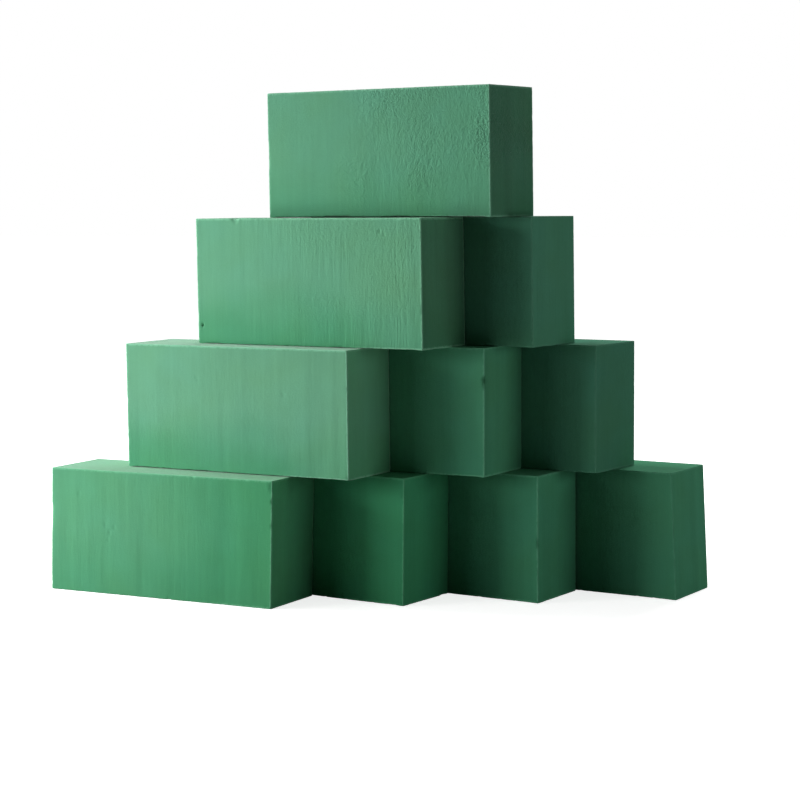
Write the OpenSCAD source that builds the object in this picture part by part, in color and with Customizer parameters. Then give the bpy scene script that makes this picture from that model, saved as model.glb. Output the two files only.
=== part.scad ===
// Ten bricks of dry floral foam, laid in a stack of four, three, two and one.
// Every brick stands on its narrow long side. In a row, each brick stands out
// past the one in front of it, and each row lies astride the joints of the row
// under it. +X runs along the bricks to their near ends, +Y runs across the
// rows to the back, and +Z is up. The origin is under the middle of the stack,
// on the surface that it stands on. Lengths are in millimetres, and turns are
// in degrees, anticlockwise from above.

/* [Brick] */
// Length of a brick
brick_length = 230; // [200:1:260]
// Width of a brick, from its front long face to its back one
brick_width = 70; // [60:1:90]
// Height of a brick as it lies in the stack
brick_height = 110; // [90:1:140]

/* [Stack] */
// How far a brick stands out past the one in front of it
stagger_length = 90; // [60:1:110]
// How far each row stands out past the row under it
advance_length = 52; // [30:1:60]
// Space between two bricks that stand side by side
side_gap = 0.3; // [0.2:0.1:1]
// Space between a brick and the row that it rests on
rest_gap = 0.05; // [0.02:0.01:0.5]

/* [Bottom row, front to back] */
// Slide of each brick from its even place, towards its near end
bottom_slide = [0, -2, -1, -1]; // [-20:1:20]
// Turn of each brick
bottom_turn = [5, -1, -1, 0]; // [-5:0.5:5]
// How far out of upright the ends are cut: their feet stand out past their tops by this
bottom_foot_offset = [-3.5, -2, 0, 5]; // [-6:0.5:6]
// How far out of square the ends are cut: their backs stand out past their fronts by this
bottom_skew_offset = [0, 0, -2.5, -2.5]; // [-4:0.5:4]

/* [Lower row, front to back] */
// Slide of each brick from its even place, towards its near end
lower_slide = [4, 3, -18]; // [-20:1:20]
// Turn of each brick
lower_turn = [3, 3, 0]; // [-5:0.5:5]
// How far out of upright the ends are cut: their feet stand out past their tops by this
lower_foot_offset = [0.5, -0.5, 0]; // [-6:0.5:6]
// How far out of square the ends are cut: their backs stand out past their fronts by this
lower_skew_offset = [0, 0, 1.5]; // [-4:0.5:4]
// How far the row lies behind the middle of the bricks under it
lower_back = -4; // [-15:1:15]

/* [Upper row, front to back] */
// Slide of each brick from its even place, towards its near end
upper_slide = [9, -15]; // [-20:1:20]
// Turn of each brick
upper_turn = [2, -0.5]; // [-5:0.5:5]
// How far out of upright the ends are cut: their feet stand out past their tops by this
upper_foot_offset = [1, 1]; // [-6:0.5:6]
// How far out of square the ends are cut: their backs stand out past their fronts by this
upper_skew_offset = [1.5, 1.5]; // [-4:0.5:4]
// How far the row lies behind the middle of the bricks under it
upper_back = -12; // [-15:1:15]

/* [Top brick] */
// Slide of the brick from its even place, towards its near end
top_slide = -2; // [-20:1:20]
// Turn of the brick
top_turn = -0.5; // [-5:0.5:5]
// How far out of upright the ends are cut: their feet stand out past their tops by this
top_foot_offset = 1; // [-6:0.5:6]
// How far out of square the ends are cut: their backs stand out past their fronts by this
top_skew_offset = 1; // [-4:0.5:4]
// How far the brick lies behind the middle of the bricks under it
top_back = -4; // [-15:1:15]

/* [Hidden] */

// Each row steps back by half a brick, so that it lies astride the joints below
row_back = brick_width / 2;
row_height = brick_height + rest_gap;

// Directions of a brick's length and width, seen from above
function along(turn) = [cos(turn), sin(turn)];
function across(turn) = [-sin(turn), cos(turn)];

// A laid brick is [near front corner, turn, foot offset, skew offset], seen from above
function corner(brick) = brick[0];
function turn(brick) = brick[1];
function foot_offset(brick) = brick[2];
function skew_offset(brick) = brick[3];

// The point of a brick that stands out furthest at the near end of its back face
function near_back(brick) =
    corner(brick)
    + brick_width * across(turn(brick))
    + (skew_offset(brick) + max(foot_offset(brick), 0)) * along(turn(brick));

// How far back a brick starts, so that its front face clears the near end of the
// brick in front, and its own far end clears that brick's back face
function seat_behind(front, x, this_turn, this_foot_offset) =
    let (
        edge = near_back(front),
        front_turn = turn(front),
        reach = brick_length - min(this_foot_offset, 0),
        far_x = x - reach * cos(this_turn),
        at_near = (side_gap + (x - edge[0]) * sin(this_turn)) / cos(this_turn),
        at_far = reach * sin(this_turn)
            + (side_gap + (far_x - edge[0]) * sin(front_turn)) / cos(front_turn)
    )
    edge[1] + max(at_near, at_far);

// A row of laid bricks from its first even place, each pushed up to the one before
function laid_row(start, slides, turns, foot_offsets, skew_offsets, laid = []) =
    let (i = len(laid))
    i == len(turns) ? laid :
    let (
        x = start[0] + i * stagger_length + slides[i],
        y = i == 0 ? start[1] : seat_behind(laid[i - 1], x, turns[i], foot_offsets[i]),
        brick = [[x, y], turns[i], foot_offsets[i], skew_offsets[i]]
    )
    laid_row(start, slides, turns, foot_offsets, skew_offsets, concat(laid, [brick]));

function row_start(row, back) = [row * advance_length, row * row_back + back];

bottom_row = laid_row(row_start(0, 0), bottom_slide, bottom_turn, bottom_foot_offset, bottom_skew_offset);
lower_row = laid_row(row_start(1, lower_back), lower_slide, lower_turn, lower_foot_offset, lower_skew_offset);
upper_row = laid_row(row_start(2, upper_back), upper_slide, upper_turn, upper_foot_offset, upper_skew_offset);
top_row = laid_row(row_start(3, top_back), [top_slide], [top_turn], [top_foot_offset], [top_skew_offset]);

// Middle of the box around every brick, seen from above
function plan_corners(brick) = [
    for (length = [-brick_length, 0], foot = [0, foot_offset(brick)], side = [0, 1])
        corner(brick)
        + (length + foot + side * skew_offset(brick)) * along(turn(brick))
        + side * brick_width * across(turn(brick))
];
plan = [for (brick = concat(bottom_row, lower_row, upper_row, top_row)) each plan_corners(brick)];
function middle(values) = (min(values) + max(values)) / 2;
stack_middle = [middle([for (point = plan) point[0]]), middle([for (point = plan) point[1]])];

// One brick of foam: a bar of the brick's width and height, cut to length by two parallel
// cuts that are foot_offset out of upright and skew_offset out of square
module foam_brick(brick, row) {
    skew_slope = skew_offset(brick) / brick_width;
    foot_slope = foot_offset(brick) / brick_height;
    across_cuts = brick_length / norm([1, skew_slope, foot_slope]);
    bar_spare = 1 + abs(foot_offset(brick)) + abs(skew_offset(brick));
    translate(concat(corner(brick) - stack_middle, row * row_height))
        rotate(turn(brick))
            intersection() {
                translate([-brick_length - bar_spare, 0, 0])
                    cube([brick_length + 2 * bar_spare, brick_width, brick_height]);
                translate([0, 0, brick_height])
                    rotate([0, -atan2(foot_slope, norm([1, skew_slope])), -atan(skew_slope)])
                        translate([-across_cuts, -brick_length, -brick_length])
                            cube([across_cuts, 2 * brick_length, 2 * brick_length]);
            }
}

module bottom_brick(number) {
    color("#4a9668") foam_brick(bottom_row[number - 1], 0);
}

module lower_brick(number) {
    color("#529c72") foam_brick(lower_row[number - 1], 1);
}

module upper_brick(number) {
    color("#549b75") foam_brick(upper_row[number - 1], 2);
}

module top_brick() {
    color("#569878") foam_brick(top_row[0], 3);
}

for (number = [1:4])
    bottom_brick(number);
for (number = [1:3])
    lower_brick(number);
for (number = [1:2])
    upper_brick(number);
top_brick();
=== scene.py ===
"""Ten loose bricks of dry floral foam, stacked four, three, two and one.

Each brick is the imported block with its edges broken, cut into a fine grid and
then worn: the wire's lines and streaks, torn cells, crumbled edges, knocked
corners and dents.
Lengths in a brick are in millimetres from its far, front, bottom corner: s runs
along the brick to its near end, t from the front long face to the back, and h up.
"""

import math

import bmesh
import bpy
import numpy as np
from mathutils import Matrix, Vector


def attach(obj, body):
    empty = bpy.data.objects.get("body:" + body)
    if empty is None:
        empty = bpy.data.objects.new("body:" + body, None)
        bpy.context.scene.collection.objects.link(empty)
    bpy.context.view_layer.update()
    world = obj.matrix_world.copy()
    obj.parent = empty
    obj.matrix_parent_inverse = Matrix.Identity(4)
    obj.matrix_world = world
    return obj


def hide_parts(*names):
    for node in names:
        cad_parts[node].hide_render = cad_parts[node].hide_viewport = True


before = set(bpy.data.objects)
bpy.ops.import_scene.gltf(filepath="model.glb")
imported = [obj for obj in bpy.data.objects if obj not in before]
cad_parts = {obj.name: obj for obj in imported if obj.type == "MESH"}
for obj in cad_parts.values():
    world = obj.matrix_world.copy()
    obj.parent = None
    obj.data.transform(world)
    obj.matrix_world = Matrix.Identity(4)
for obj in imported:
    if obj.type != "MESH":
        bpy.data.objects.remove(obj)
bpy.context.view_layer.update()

MM = 0.001
UP = Vector((0, 0, 1))

# How finely a brick is cut up, as steps along its length, width and height, and how far that grid
# is drawn in towards the edges, where the wear is finest
LENGTH_STEPS, WIDTH_STEPS, HEIGHT_STEPS = 300, 36, 100
CROWDING = 0.15
# The wire leaves an edge this round, in mm, and the foam keeps no sharper one
EDGE_RADIUS = 0.3
EDGE_SEGMENTS = 2
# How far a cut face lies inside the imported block, in mm, which leaves room for the streaks to stand up
SKIN = 0.15
# How deep each kind of wear goes, in mm
WAVE_DEPTH = 0.14
TOP_STREAK_DEPTH = 0.03
CRUMB_DEPTH = 0.1
NICK_DEPTH = 0.18
CHIP_DEPTH = 0.35
KNOCK_DEPTH = 0.1
# How far in from a side of the brick its wear still moves the points, in mm
SIDE_REACH = 1.6
# The middle of the stack's height, in metres, which the lamps face
LAMP_TARGET = 0.22
# Half the side of the floor, in metres, and how far it lies below the bricks, in mm
FLOOR_REACH = 15
FLOOR_DROP = 0.02


# ---------------------------------------------------------------- bricks

# What tells one brick from another. Depths are in mm: ripples are the fine upright lines that the
# wire leaves, pebble the torn cells between them, streaks the broad soft bands, and seam how far the
# underside's long borders are worn up off what the brick rests on. ripple_length is in mm. Ripples
# grow from rough_from, in mm along the brick, and the pebble from torn_from. end_painted_light is how
# light the ends are painted beside the long faces, as painted light and shade. foot and
# end_shade_green are painted shade, how much deeper and darker the green goes towards the underside
# and how much deeper on the ends, and near is how much deeper it goes towards the near end. bloom is
# the pale veil at grazing angles, and rim_and_highlight how pale the edges are, partly paler broken
# cells and partly a painted highlight. marks are (s, t, h, radius, depth) in mm.
USUAL = dict(
    end_painted_light=1.0, ripples=0.045, ripple_length=18, rough_from=-60, pebble=0.025, torn_from=-60,
    streaks=0.25, seam=0.3, foot=0.2, near=0.0, end_shade_green=0.0, bloom=0.02, rim_and_highlight=0.4, marks=[],
)
BRICKS = {
    "bottom_brick_1": dict(
        USUAL, slot="foam_bottom", colour="#5AA27A", end_painted_light=1.12, seed=11, ripples=0.035, streaks=0.22,
        seam=0.1, foot=0.5, near=1.0, end_shade_green=0.5, bloom=0.22, rim_and_highlight=0.7,
        marks=[
            (230, 0, 104, 5, 0.5), (230, 0, 92, 3, 0.5), (230, 0, 71, 3, 0.4), (150, 0, 110, 3, 0.4),
            (126, 0, 0, 3, 0.4), (58, 0, 62, 3, 0.25), (63, 0, 55, 2.5, 0.3), (68, 0, 60, 2.5, 0.25),
            (61, 0, 49, 2.5, 0.25), (30, 0, 88, 3, 0.2),
        ],
    ),
    "bottom_brick_2": dict(
        USUAL, slot="foam_bottom", colour="#419367", end_painted_light=1.24, seed=12, rim_and_highlight=1.0,
        marks=[(230, 0, 98, 6, 0.5)],
    ),
    "bottom_brick_3": dict(
        USUAL, slot="foam_bottom", colour="#4A936F", end_painted_light=1.15, seed=13, rim_and_highlight=1.0,
        marks=[(230, 0, 53, 4, 1.0), (230, 0, 49, 2.5, 0.8)],
    ),
    "bottom_brick_4": dict(USUAL, slot="foam_bottom", colour="#509A76", seed=14),
    "lower_brick_1": dict(
        USUAL, slot="foam_lower", colour="#69A886", end_painted_light=1.15, seed=21, ripples=0.028, streaks=0.16,
        seam=0.7, foot=1.0, end_shade_green=0.5, bloom=0.25, rim_and_highlight=1.0,
        marks=[(76, 0, 82, 3, 0.2), (166, 0, 70, 3, 0.2)],
    ),
    "lower_brick_2": dict(
        USUAL, slot="foam_lower", colour="#529B76", seed=22, rim_and_highlight=1.0,
        marks=[(230, 1, 83, 4, 2.2), (230, 0, 78, 3, 0.8)],
    ),
    "lower_brick_3": dict(
        USUAL, slot="foam_lower", colour="#4F8E71", end_painted_light=0.94, seed=23, streaks=0.2,
    ),
    "upper_brick_1": dict(
        USUAL, slot="foam_upper", colour="#67A884", end_painted_light=0.67, seed=31, ripples=0.095, ripple_length=22,
        rough_from=20, pebble=0.095, torn_from=40, streaks=0.1, seam=0.35, foot=0.9, end_shade_green=0.4,
        bloom=0.2, rim_and_highlight=1.0,
        marks=[(5, 0, 16, 1.8, 1.6), (42, 0, 110, 5, 0.5), (190, 0, 99, 2.5, 0.4), (194, 0, 96, 2, 0.3)],
    ),
    "upper_brick_2": dict(USUAL, slot="foam_upper", colour="#4D896D", end_painted_light=1.29, seed=32),
    "top_brick": dict(
        USUAL, slot="foam_top", colour="#5D9B7B", end_painted_light=0.8, seed=41, ripple_length=14, rough_from=60,
        pebble=0.31, torn_from=50, streaks=0.1, seam=0.9, foot=0.35, near=0.2, end_shade_green=0.2, bloom=0.2,
        rim_and_highlight=1.0,
    ),
}


def block_of(node):
    """The node's CAD block with its corners joined and each side one face."""
    block = bmesh.new()
    block.from_mesh(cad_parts[node].data)
    bmesh.ops.remove_doubles(block, verts=block.verts, dist=0.01 * MM)
    bmesh.ops.dissolve_limit(block, angle_limit=math.radians(1), verts=block.verts, edges=block.edges)
    return block


class Lie:
    """How a brick lies: its directions, its size, and how its ends lean and stand out of square."""

    def __init__(self, block):
        longest = max(block.edges, key=lambda edge: edge.calc_length())
        run = longest.verts[1].co - longest.verts[0].co
        self.along = Vector((run.x, run.y, 0)).normalized() * math.copysign(1, run.x)
        self.across = UP.cross(self.along)
        self.axes = np.array([self.along, self.across, UP])
        corners = np.array([vert.co for vert in block.verts]) @ self.axes.T / MM
        far, front, low = (corners < corners.mean(0)).T
        self.start = corners[far & front & low][0]
        self.lean = (corners[far & front & ~low] - self.start)[0][0]
        self.skew = (corners[far & ~front & low] - self.start)[0][0]
        self.size = (corners[~far & ~front & ~low] - self.start)[0] - (self.lean + self.skew, 0, 0)

    def slant(self, points):
        """How far the ends are moved along the brick, which grows with h and with t."""
        return self.lean * points[:, 2] / self.size[2] + self.skew * points[:, 1] / self.size[1]

    def measured(self, world):
        """Points in metres as s, t and h on the brick, with its ends made square."""
        points = world @ self.axes.T / MM - self.start
        points[:, 0] -= self.slant(points)
        return points

    def placed(self, points):
        """The other way round: s, t and h as points in metres."""
        slanted = points.copy()
        slanted[:, 0] += self.slant(points)
        return (slanted + self.start) * MM @ self.axes


def cut_fine(block, lie):
    """Breaks the edges, then cuts every side into a fine grid."""
    bmesh.ops.bevel(
        block, geom=block.edges[:], offset=EDGE_RADIUS * MM, offset_type="OFFSET", segments=EDGE_SEGMENTS,
        profile=0.5, affect="EDGES", material=-1, clamp_overlap=True,
    )
    shortest = lie.size.min() / 2 * MM
    for direction, steps in ((lie.along, LENGTH_STEPS), (lie.across, WIDTH_STEPS), (UP, HEIGHT_STEPS)):
        runs = [
            edge for edge in block.edges
            if edge.calc_length() > shortest
            and abs((edge.verts[1].co - edge.verts[0].co).normalized().dot(direction)) > 0.9
        ]
        bmesh.ops.subdivide_edges(block, edges=runs, cuts=steps - 1, use_grid_fill=True)


def scatter(cells, seed):
    """A repeatable value from -1 to 1 for each whole-numbered cell, from large odd factors and shifts."""
    mixed = cells[0] * 374761393 + cells[1] * 668265263 + cells[2] * 2147483647 + seed * 974634777
    mixed &= 0xFFFFFFFF
    mixed = ((mixed ^ (mixed >> 13)) * 1274126177) & 0xFFFFFFFF
    return ((mixed ^ (mixed >> 16)) & 0xFFFF) / 32767.5 - 1.0


def noise(points, pitch, seed):
    """Smooth noise from -1 to 1. pitch is its grain along s, t and h, in mm; 0 leaves a direction out."""
    scaled = [points[:, i] / pitch[i] if pitch[i] else np.zeros(len(points)) for i in range(3)]
    cells = [np.floor(v).astype(np.int64) for v in scaled]
    parts = [v - c for v, c in zip(scaled, cells)]
    eased = [p * p * (3 - 2 * p) for p in parts]
    total = np.zeros(len(points))
    for corner in range(8):
        steps = [corner & 1, corner >> 1 & 1, corner >> 2 & 1]
        if any(step and not grain for step, grain in zip(steps, pitch)):
            continue
        weight = np.ones(len(points))
        for step, ease, grain in zip(steps, eased, pitch):
            if grain:
                weight = weight * (ease if step else 1 - ease)
        total += weight * scatter([c + step for c, step in zip(cells, steps)], seed)
    return total


def rise(value, start, end):
    """0 below start, 1 above end, and smooth between."""
    share = np.clip((value - start) / (end - start), 0, 1)
    return share * share * (3 - 2 * share)


def crowded(run, length):
    """Draws a run of the grid in towards both its ends."""
    span = length - 2 * EDGE_RADIUS
    share = np.clip((run - EDGE_RADIUS) / span, 0, 1)
    return run - CROWDING * span * np.sin(2 * math.pi * share) / (2 * math.pi)


def grains_of(look):
    """The grain of each kind of unevenness, in mm along s, t and h. 0 draws it right out that way.

    A kind's place in the list is part of its seed.
    """
    return {
        "wander": (24, 24, 14), "patches": (46, 60, 40), "ripples": (1.5, 0, look["ripple_length"]),
        "wide_ripples": (2.6, 0, 34), "torn": (40, 60, 32), "clumps": (1.7, 1.7, 1.8),
        "streaks": (6.5, 0, 140), "broad_streaks": (17, 0, 300), "end_streaks": (0, 5, 110),
        "broad_end_streaks": (0, 14, 250), "top_streaks": (130, 3, 0), "waves": (62, 62, 48),
        "crumbs": (1.5, 1.5, 1.7), "nicks": (5.5, 5.5, 6.5), "chips": (21, 21, 24), "knocks": (90, 50, 80),
        "stray": (5, 5, 4), "foot": (34, 40, 22), "wide_clumps": (2.6, 2.6, 2.6),
    }


class Wear:
    """The wear of one brick, and its colour's painted shade and highlight. A push is how far each point
    goes in, in mm, from each of its sides.
    """

    def __init__(self, points, size, look):
        self.points = np.array([crowded(run, length) for run, length in zip(points.T, size)]).T
        self.size, self.look, self.grains = size, look, grains_of(look)
        self.s, self.t, self.h = self.points.T
        # Distance to the nearer side along each axis, and to the nearest edge and corner
        self.depth = np.minimum(self.points, size - self.points).T
        self.edge_distance, self.corner_distance = np.sort(self.depth, axis=0)[1:]
        # The wire's lines wander a little as they run up a face
        self.wander = self.points.copy()
        self.wander[:, 0] += 0.5 * self.uneven("wander")
        self.crumbs = np.maximum(self.uneven("crumbs"), 0)
        self.knocks = 0.5 + 0.5 * self.uneven("knocks")
        self.end_streaks = 0.3 * self.uneven("end_streaks") + 0.9 * self.uneven("broad_end_streaks")

    def uneven(self, kind, points=None):
        """Smooth noise from -1 to 1 with the grain of its kind, and a seed of the brick's and its own."""
        seed = self.look["seed"] * 100 + list(self.grains).index(kind) + 1
        return noise(self.points if points is None else points, self.grains[kind], seed)

    def rough(self):
        """How strong the wire's fine lines are. They come in patches, and grow from rough_from."""
        patches = rise(self.uneven("patches"), -0.6, 0.3)
        start = self.look["rough_from"]
        return (0.3 + 0.7 * patches) * (0.25 + 0.75 * rise(self.s, start, start + 60))

    def torn(self):
        """How torn the cells between them are. It dies away towards the underside and the far end."""
        patches = rise(self.uneven("torn"), -0.5, 0.3)
        torn = (0.3 + 0.7 * patches) * rise(self.h, -10, 45)
        start = self.look["torn_from"]
        torn *= 0.1 + 0.9 * rise(self.s, start, start + 90)
        return torn

    def cut(self, rough, torn):
        """The push that the wire leaves: ripples and streaks up the sides, torn cells and waves."""
        fine = self.uneven("ripples", self.wander)
        ripples = self.look["ripples"] * rough * (fine + 0.3 * self.uneven("wide_ripples", self.wander))
        streaks = 0.5 * self.uneven("streaks") + 1.1 * self.uneven("broad_streaks")
        push = np.array([
            self.look["streaks"] * self.end_streaks,
            ripples + self.look["streaks"] * streaks,
            TOP_STREAK_DEPTH * self.uneven("top_streaks"),
        ])
        strayed = self.wander.copy()
        strayed[:, 0] += 0.8 * self.uneven("stray")
        clumps = self.uneven("clumps", strayed) + 0.4 * self.uneven("wide_clumps", strayed)
        pebble = self.look["pebble"] * torn * clumps
        # A cut face is never quite flat, but its edges run straight
        waves = WAVE_DEPTH * self.uneven("waves") * rise(self.edge_distance, 0, 18)
        push = (push + pebble + waves) * (0.2 + 0.8 * rise(self.edge_distance, 0, 6))
        push += SKIN * (0.4 + 0.6 * rise(self.edge_distance, 0, 8))
        # The two faces that bricks rest on are flatter, so that they meet all over
        push[2] *= 0.3
        return push

    def break_edges(self, push):
        """Crumbs, nicks and chips, which are deepest on the edge itself, and knocked corners."""
        nicks = rise(self.uneven("nicks"), 0.55, 0.9)
        chips = rise(self.uneven("chips"), 0.72, 0.95)
        near_edge = 1 - rise(self.edge_distance, 0.2, 2.2)
        push += near_edge * (CRUMB_DEPTH * self.crumbs + NICK_DEPTH * nicks)
        push += CHIP_DEPTH * chips * (1 - rise(self.edge_distance, 0.5, 3.5))
        push += KNOCK_DEPTH * self.knocks * (1 - rise(self.corner_distance, 0.5, 4.0))

    def wear_underside(self, push):
        """Its long borders are worn up, so a dark line shows where the brick rests."""
        border = (1 - rise(self.depth[1], 6, 14)) * rise(self.depth[0], 2, 9) * (self.h < 2)
        push[2] += self.look["seam"] * (1 - 0.3 * self.knocks) * border

    def dent(self, push):
        """The brick's own marks, a little taller than they are wide."""
        for s, t, h, radius, deep in self.look["marks"]:
            away = np.sqrt((self.s - s) ** 2 + (self.t - t) ** 2 + ((self.h - h) * 0.8) ** 2)
            push += deep * (1 - rise(away * (1 + 0.3 * self.crumbs), 0.25 * radius, radius))

    def greens(self):
        """How light the foam is, how deep its green, and how pale its edges: painted shade on the ends and
        towards the underside, and paler broken cells with a painted highlight along the edges.
        """
        look, length = self.look, self.size[0]
        # Painted shade: the green is deeper and darker towards the underside. It is also deeper towards the
        # near end
        foot = look["foot"] * (1 - rise(self.h + 8 * self.uneven("foot"), 0, 62))
        foot *= 1 - 0.5 * rise(self.s, 0.6 * length, 0.95 * length)
        near = look["near"] * rise(self.s, 0.35 * length, length)
        # Painted light and shade on the ends: a deeper green, and lighter or darker than the long faces,
        # besides the tone of the ends' own streaks
        on_ends = 1 - rise(self.depth[0], 0, 0.9)
        deeper = foot + near + look["end_shade_green"] * on_ends
        tone = 1 + (look["end_painted_light"] - 1 + 0.07 * self.end_streaks) * on_ends
        tone *= 1 - 0.2 * foot - 0.08 * near
        # The pale rim is partly paler broken cells and partly a painted highlight. An edge has neither
        # where it stands on something
        free = np.maximum(rise(self.h, 1.5, 3.5), rise(self.s, 0.65 * length, 0.8 * length))
        rim_and_highlight = look["rim_and_highlight"] * free * (1 - rise(self.edge_distance + 0.8 * self.crumbs, 0.8, 1.9))
        return dict(tone=tone, deeper=deeper, rim_and_highlight=rim_and_highlight)


def weather(points, size, look):
    """Where each point ends up, and what the foam's finish needs to know there, painted shade and highlight
    among it.
    """
    wear = Wear(points, size, look)
    rough, torn = wear.rough(), wear.torn()
    push = wear.cut(rough, torn)
    wear.break_edges(push)
    wear.wear_underside(push)
    wear.dent(push)
    inward = np.where(wear.points < size / 2, 1, -1)
    on_side = 1 - rise(wear.depth, 0.0, SIDE_REACH)
    moved = wear.points + (on_side * np.maximum(push, 0)).T * inward
    return moved, dict(rough=rough, torn=torn, **wear.greens())


def put(name, data):
    """A new object in the scene."""
    thing = bpy.data.objects.new(name, data)
    bpy.context.scene.collection.objects.link(thing)
    return thing


def brick(name, look):
    """Makes one brick of the stack from its packed block."""
    block = block_of(name)
    lie = Lie(block)
    cut_fine(block, lie)
    mesh = bpy.data.meshes.new(name + "_foam")
    block.to_mesh(mesh)
    block.free()
    coordinates = np.empty(len(mesh.vertices) * 3, np.float32)
    mesh.vertices.foreach_get("co", coordinates)
    moved, notes = weather(lie.measured(coordinates.reshape(-1, 3).astype(float)), lie.size, look)
    mesh.vertices.foreach_set("co", lie.placed(moved).astype(np.float32).ravel())
    for title, values in notes.items():
        mesh.attributes.new(title, "FLOAT", "POINT").data.foreach_set("value", values.astype(np.float32))
    mesh.shade_smooth()
    mesh.materials.append(foam(name, look))
    piece = put(name + "_foam", mesh)
    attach(piece, name)
    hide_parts(name)


# ---------------------------------------------------------------- finishes


def linear(hex_colour):
    """An sRGB hex colour as linear red, green and blue, with a full alpha."""
    parts = [int(hex_colour[i : i + 2], 16) / 255 for i in (1, 3, 5)]
    return [c / 12.92 if c <= 0.04045 else ((c + 0.055) / 1.055) ** 2.4 for c in parts] + [1.0]


def add(tree, kind, settings=(), **links):
    """Adds a shader node with its settings, and its inputs from values or other nodes' sockets.

    An input goes by its name, or by its number where names repeat, as in _0.
    """
    made = tree.nodes.new(kind)
    for name, value in dict(settings).items():
        setattr(made, name, value)
    for name, value in links.items():
        socket = made.inputs[int(name[1:]) if name[1:].isdigit() else name.replace("_", " ")]
        if isinstance(value, bpy.types.NodeSocket):
            tree.links.new(value, socket)
        else:
            socket.default_value = value
    return made


def empty_tree(owner):
    """The node tree of a material or a world, with no nodes in it."""
    owner.use_nodes = True
    owner.node_tree.nodes.clear()
    return owner.node_tree


def foam(name, look):
    """Dry phenolic foam, wire cut: a dead matt face of tiny torn cells, a soft bloom at grazing angles."""
    material = bpy.data.materials.new("phenolic_foam_" + name)
    tree = empty_tree(material)
    # Each brick reads its own part of the patterns, and some of them are drawn out upright
    place = add(tree, "ShaderNodeTexCoord").outputs["Object"]
    place = add(tree, "ShaderNodeVectorMath", _0=place, _1=(look["seed"] * 1.7, 0, 0)).outputs[0]
    multiply = {"operation": "MULTIPLY"}
    upright = add(tree, "ShaderNodeVectorMath", multiply, _0=place, _1=(1, 1, 0.05)).outputs[0]

    # Foam is mixed in batches, so over 60 mm the green drifts between a yellower and a bluer one
    green = linear(look["colour"])
    clouds = add(tree, "ShaderNodeTexNoise", Vector=place, Scale=1 / (60 * MM), Detail=2.0)
    drift = add(tree, "ShaderNodeMapRange", Value=clouds.outputs["Fac"], From_Min=0.3, From_Max=0.7)
    batch = add(
        tree, "ShaderNodeMix", {"data_type": "RGBA"}, _0=drift.outputs["Result"],
        _6=[green[0] * 1.03, green[1] * 1.01, green[2] * 0.96, 1.0],
        _7=[green[0] * 0.97, green[1] * 0.99, green[2] * 1.04, 1.0],
    )
    # deeper carries painted shade: a deeper green towards the underside and on the ends, and a deeper green
    # towards the near end
    deeper = add(tree, "ShaderNodeAttribute", {"attribute_name": "deeper"})
    saturated = add(tree, "ShaderNodeVectorMath", multiply, _0=batch.outputs[2], _1=(0.7, 1.0, 0.85))
    body = add(
        tree, "ShaderNodeMix", {"data_type": "RGBA"}, _0=deeper.outputs["Fac"],
        _6=batch.outputs[2], _7=saturated.outputs[0],
    )
    # tone carries painted light and shade: the ends lighter or darker than the long faces, and the foam
    # darker towards the underside, besides the ends' own streaks
    tone = add(tree, "ShaderNodeAttribute", {"attribute_name": "tone"})
    scale = {"operation": "SCALE"}
    body = add(tree, "ShaderNodeVectorMath", scale, _0=body.outputs[2], Scale=tone.outputs["Fac"])
    # It is also a little uneven at three smaller sizes: 30 mm clouds, the wire's 3.5 mm streaks, and
    # cells. Real cells are 0.1 to 0.3 mm, too fine to show, so they are drawn in clumps of 1.2 mm
    for vector, size, swing in ((place, 30, 0.03), (upright, 3.5, 0.025), (place, 1.2, 0.02)):
        pattern = add(tree, "ShaderNodeTexNoise", Vector=vector, Scale=1 / (size * MM), Detail=2.0)
        share = add(
            tree, "ShaderNodeMapRange", Value=pattern.outputs["Fac"],
            From_Min=0.3, From_Max=0.7, To_Min=1 - swing, To_Max=1 + swing,
        )
        body = add(tree, "ShaderNodeVectorMath", scale, _0=body.outputs[0], Scale=share.outputs["Result"])
    # Broken cells along the edges are paler, and this pale rim is partly a painted highlight
    rim_and_highlight = add(tree, "ShaderNodeAttribute", {"attribute_name": "rim_and_highlight"})
    colour = add(
        tree, "ShaderNodeMix", {"data_type": "RGBA"}, _0=rim_and_highlight.outputs["Fac"],
        _6=body.outputs[0], _7=[c * 1.3 + 0.04 for c in green[:3]] + [1.0],
    )
    # Bump holds what is finer than the mesh: cells 0.1 mm deep all over, drawn 0.9 mm wide, the wire's
    # lines 1.3 mm apart, and the torn cells between them in clumps of 1.4 mm
    cells = add(tree, "ShaderNodeTexNoise", Vector=place, Scale=1 / (0.9 * MM), Detail=3.0)
    relief = add(tree, "ShaderNodeBump", Strength=1.0, Distance=0.1 * MM, Height=cells.outputs["Fac"])
    for vector, size, where, deep in (
        (upright, 1.3, "rough", 3 * look["ripples"]), (place, 1.4, "torn", 4 * look["pebble"]),
    ):
        pattern = add(tree, "ShaderNodeTexNoise", Vector=vector, Scale=1 / (size * MM), Detail=2.0)
        amount = add(tree, "ShaderNodeAttribute", {"attribute_name": where})
        height = add(tree, "ShaderNodeMath", multiply, _0=pattern.outputs["Fac"], _1=amount.outputs["Fac"])
        relief = add(
            tree, "ShaderNodeBump", Strength=1.0, Distance=deep * MM,
            Height=height.outputs[0], Normal=relief.outputs[0],
        )
    skin = add(
        tree, "ShaderNodeBsdfPrincipled", Base_Color=colour.outputs[2], Roughness=0.95, IOR=1.3,
        Specular_IOR_Level=0.03, Sheen_Weight=look["bloom"], Sheen_Roughness=0.5, Normal=relief.outputs[0],
    )
    add(tree, "ShaderNodeOutputMaterial", Surface=skin.outputs[0])
    return material


# ---------------------------------------------------------------- stage


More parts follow.
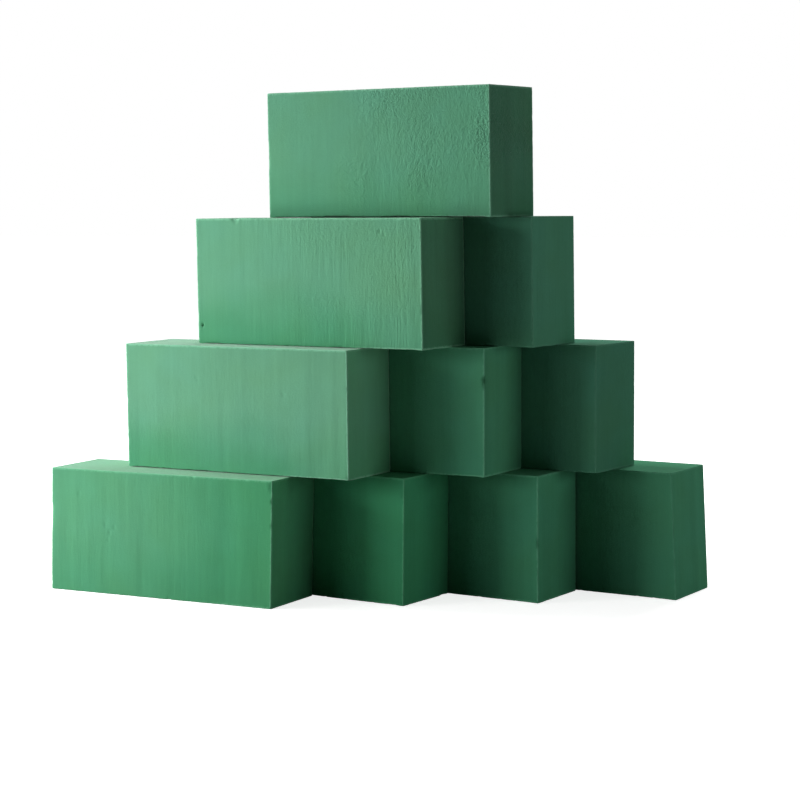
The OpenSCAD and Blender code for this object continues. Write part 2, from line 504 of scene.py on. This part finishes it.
def camera():
    """A long lens, a little above the second row, that looks in along the bricks' near ends."""
    azimuth, tilt, roll = math.radians(33), math.radians(-5.35), math.radians(-0.48)
    lens = bpy.data.cameras.new("camera")
    lens.sensor_width = 36
    lens.lens = 96.3
    lens.clip_start, lens.clip_end = 0.05, 100
    stand = put("camera", lens)
    stand.location = (1.0474, -1.5713, 0.3453)
    level = Matrix.Rotation(azimuth, 3, "Z") @ Matrix.Rotation(math.pi / 2 + tilt, 3, "X")
    stand.rotation_euler = (level @ Matrix.Rotation(roll, 3, "Z")).to_euler()
    bpy.context.scene.camera = stand


def softbox(name, azimuth, elevation, distance, size, watts):
    """A soft lamp that faces the stack. Azimuth 0 is at the far ends, 90 at the front long faces."""
    turn, lift = math.radians(azimuth), math.radians(elevation)
    way = Vector((-math.cos(turn) * math.cos(lift), -math.sin(turn) * math.cos(lift), math.sin(lift)))
    lamp = bpy.data.lights.new(name, "AREA")
    lamp.shape = "RECTANGLE"
    lamp.size, lamp.size_y = size
    lamp.energy = watts
    stand = put(name, lamp)
    stand.location = Vector((0, 0, LAMP_TARGET)) + way * distance
    stand.rotation_euler = way.to_track_quat("Z", "Y").to_euler()


def background_rays(tree):
    """1 for the rays that show what lies behind the stack, straight or by way of gloss or glass."""
    ray = add(tree, "ShaderNodeLightPath").outputs
    larger = {"operation": "MAXIMUM"}
    bent = add(tree, "ShaderNodeMath", larger, _0=ray["Is Glossy Ray"], _1=ray["Is Transmission Ray"])
    return add(tree, "ShaderNodeMath", larger, _0=ray["Is Camera Ray"], _1=bent.outputs[0]).outputs[0]


def stage():
    """A plain pale floor that keeps a faint shadow, in a white room."""
    sheet = bmesh.new()
    bmesh.ops.create_grid(sheet, x_segments=1, y_segments=1, size=FLOOR_REACH)
    bmesh.ops.translate(sheet, verts=sheet.verts, vec=(0, 0, -FLOOR_DROP * MM))
    mesh = bpy.data.meshes.new("floor")
    sheet.to_mesh(mesh)
    sheet.free()
    floor = put("floor", mesh)
    material = bpy.data.materials.new("pale_floor")
    tree = empty_tree(material)
    # To the light the floor is a matt grey. It is seen as a white that keeps the stack's shadow, and
    # that brightens from 0.35 to 0.9 m out, until it is as white as the room
    place = add(tree, "ShaderNodeTexCoord")
    reach = add(tree, "ShaderNodeVectorMath", {"operation": "LENGTH"}, _0=place.outputs["Object"])
    white = add(
        tree, "ShaderNodeMapRange", Value=reach.outputs["Value"],
        From_Min=0.35, From_Max=0.9, To_Min=0.8, To_Max=1.0,
    )
    glow = add(tree, "ShaderNodeEmission", Color=(1, 1, 1, 1), Strength=white.outputs["Result"])
    pale = add(tree, "ShaderNodeBsdfDiffuse", Color=(0.8, 0.8, 0.8, 1))
    shown = add(tree, "ShaderNodeAddShader", _0=pale.outputs[0], _1=glow.outputs[0])
    matt = add(tree, "ShaderNodeBsdfDiffuse", Color=(0.25, 0.25, 0.25, 1))
    either = add(
        tree, "ShaderNodeMixShader", _0=background_rays(tree), _1=matt.outputs[0], _2=shown.outputs[0],
    )
    add(tree, "ShaderNodeOutputMaterial", Surface=either.outputs[0])
    mesh.materials.append(material)

    world = bpy.data.worlds.new("white_room")
    bpy.context.scene.world = world
    tree = empty_tree(world)
    strength = add(tree, "ShaderNodeMapRange", Value=background_rays(tree), To_Min=0.03, To_Max=1.0)
    sky = add(tree, "ShaderNodeBackground", Color=(1, 1, 1, 1), Strength=strength.outputs[0])
    add(tree, "ShaderNodeOutputWorld", Surface=sky.outputs[0])
    bpy.context.scene.view_settings.view_transform = "Standard"


camera()
stage()
softbox("key_softbox", azimuth=38, elevation=5, distance=1.05, size=(0.8, 0.44), watts=9.4)
softbox("wide_key_softbox", azimuth=44, elevation=5, distance=1.1, size=(1.5, 0.44), watts=5.4)
softbox("top_softbox", azimuth=8, elevation=42, distance=3.0, size=(1.3, 1.3), watts=72)
softbox("end_card", azimuth=190, elevation=2, distance=1.2, size=(0.6, 0.4), watts=2.1)
softbox("back_softbox", azimuth=272, elevation=30, distance=1.3, size=(0.6, 0.6), watts=11)
for brick_name, brick_look in BRICKS.items():
    brick(brick_name, brick_look)
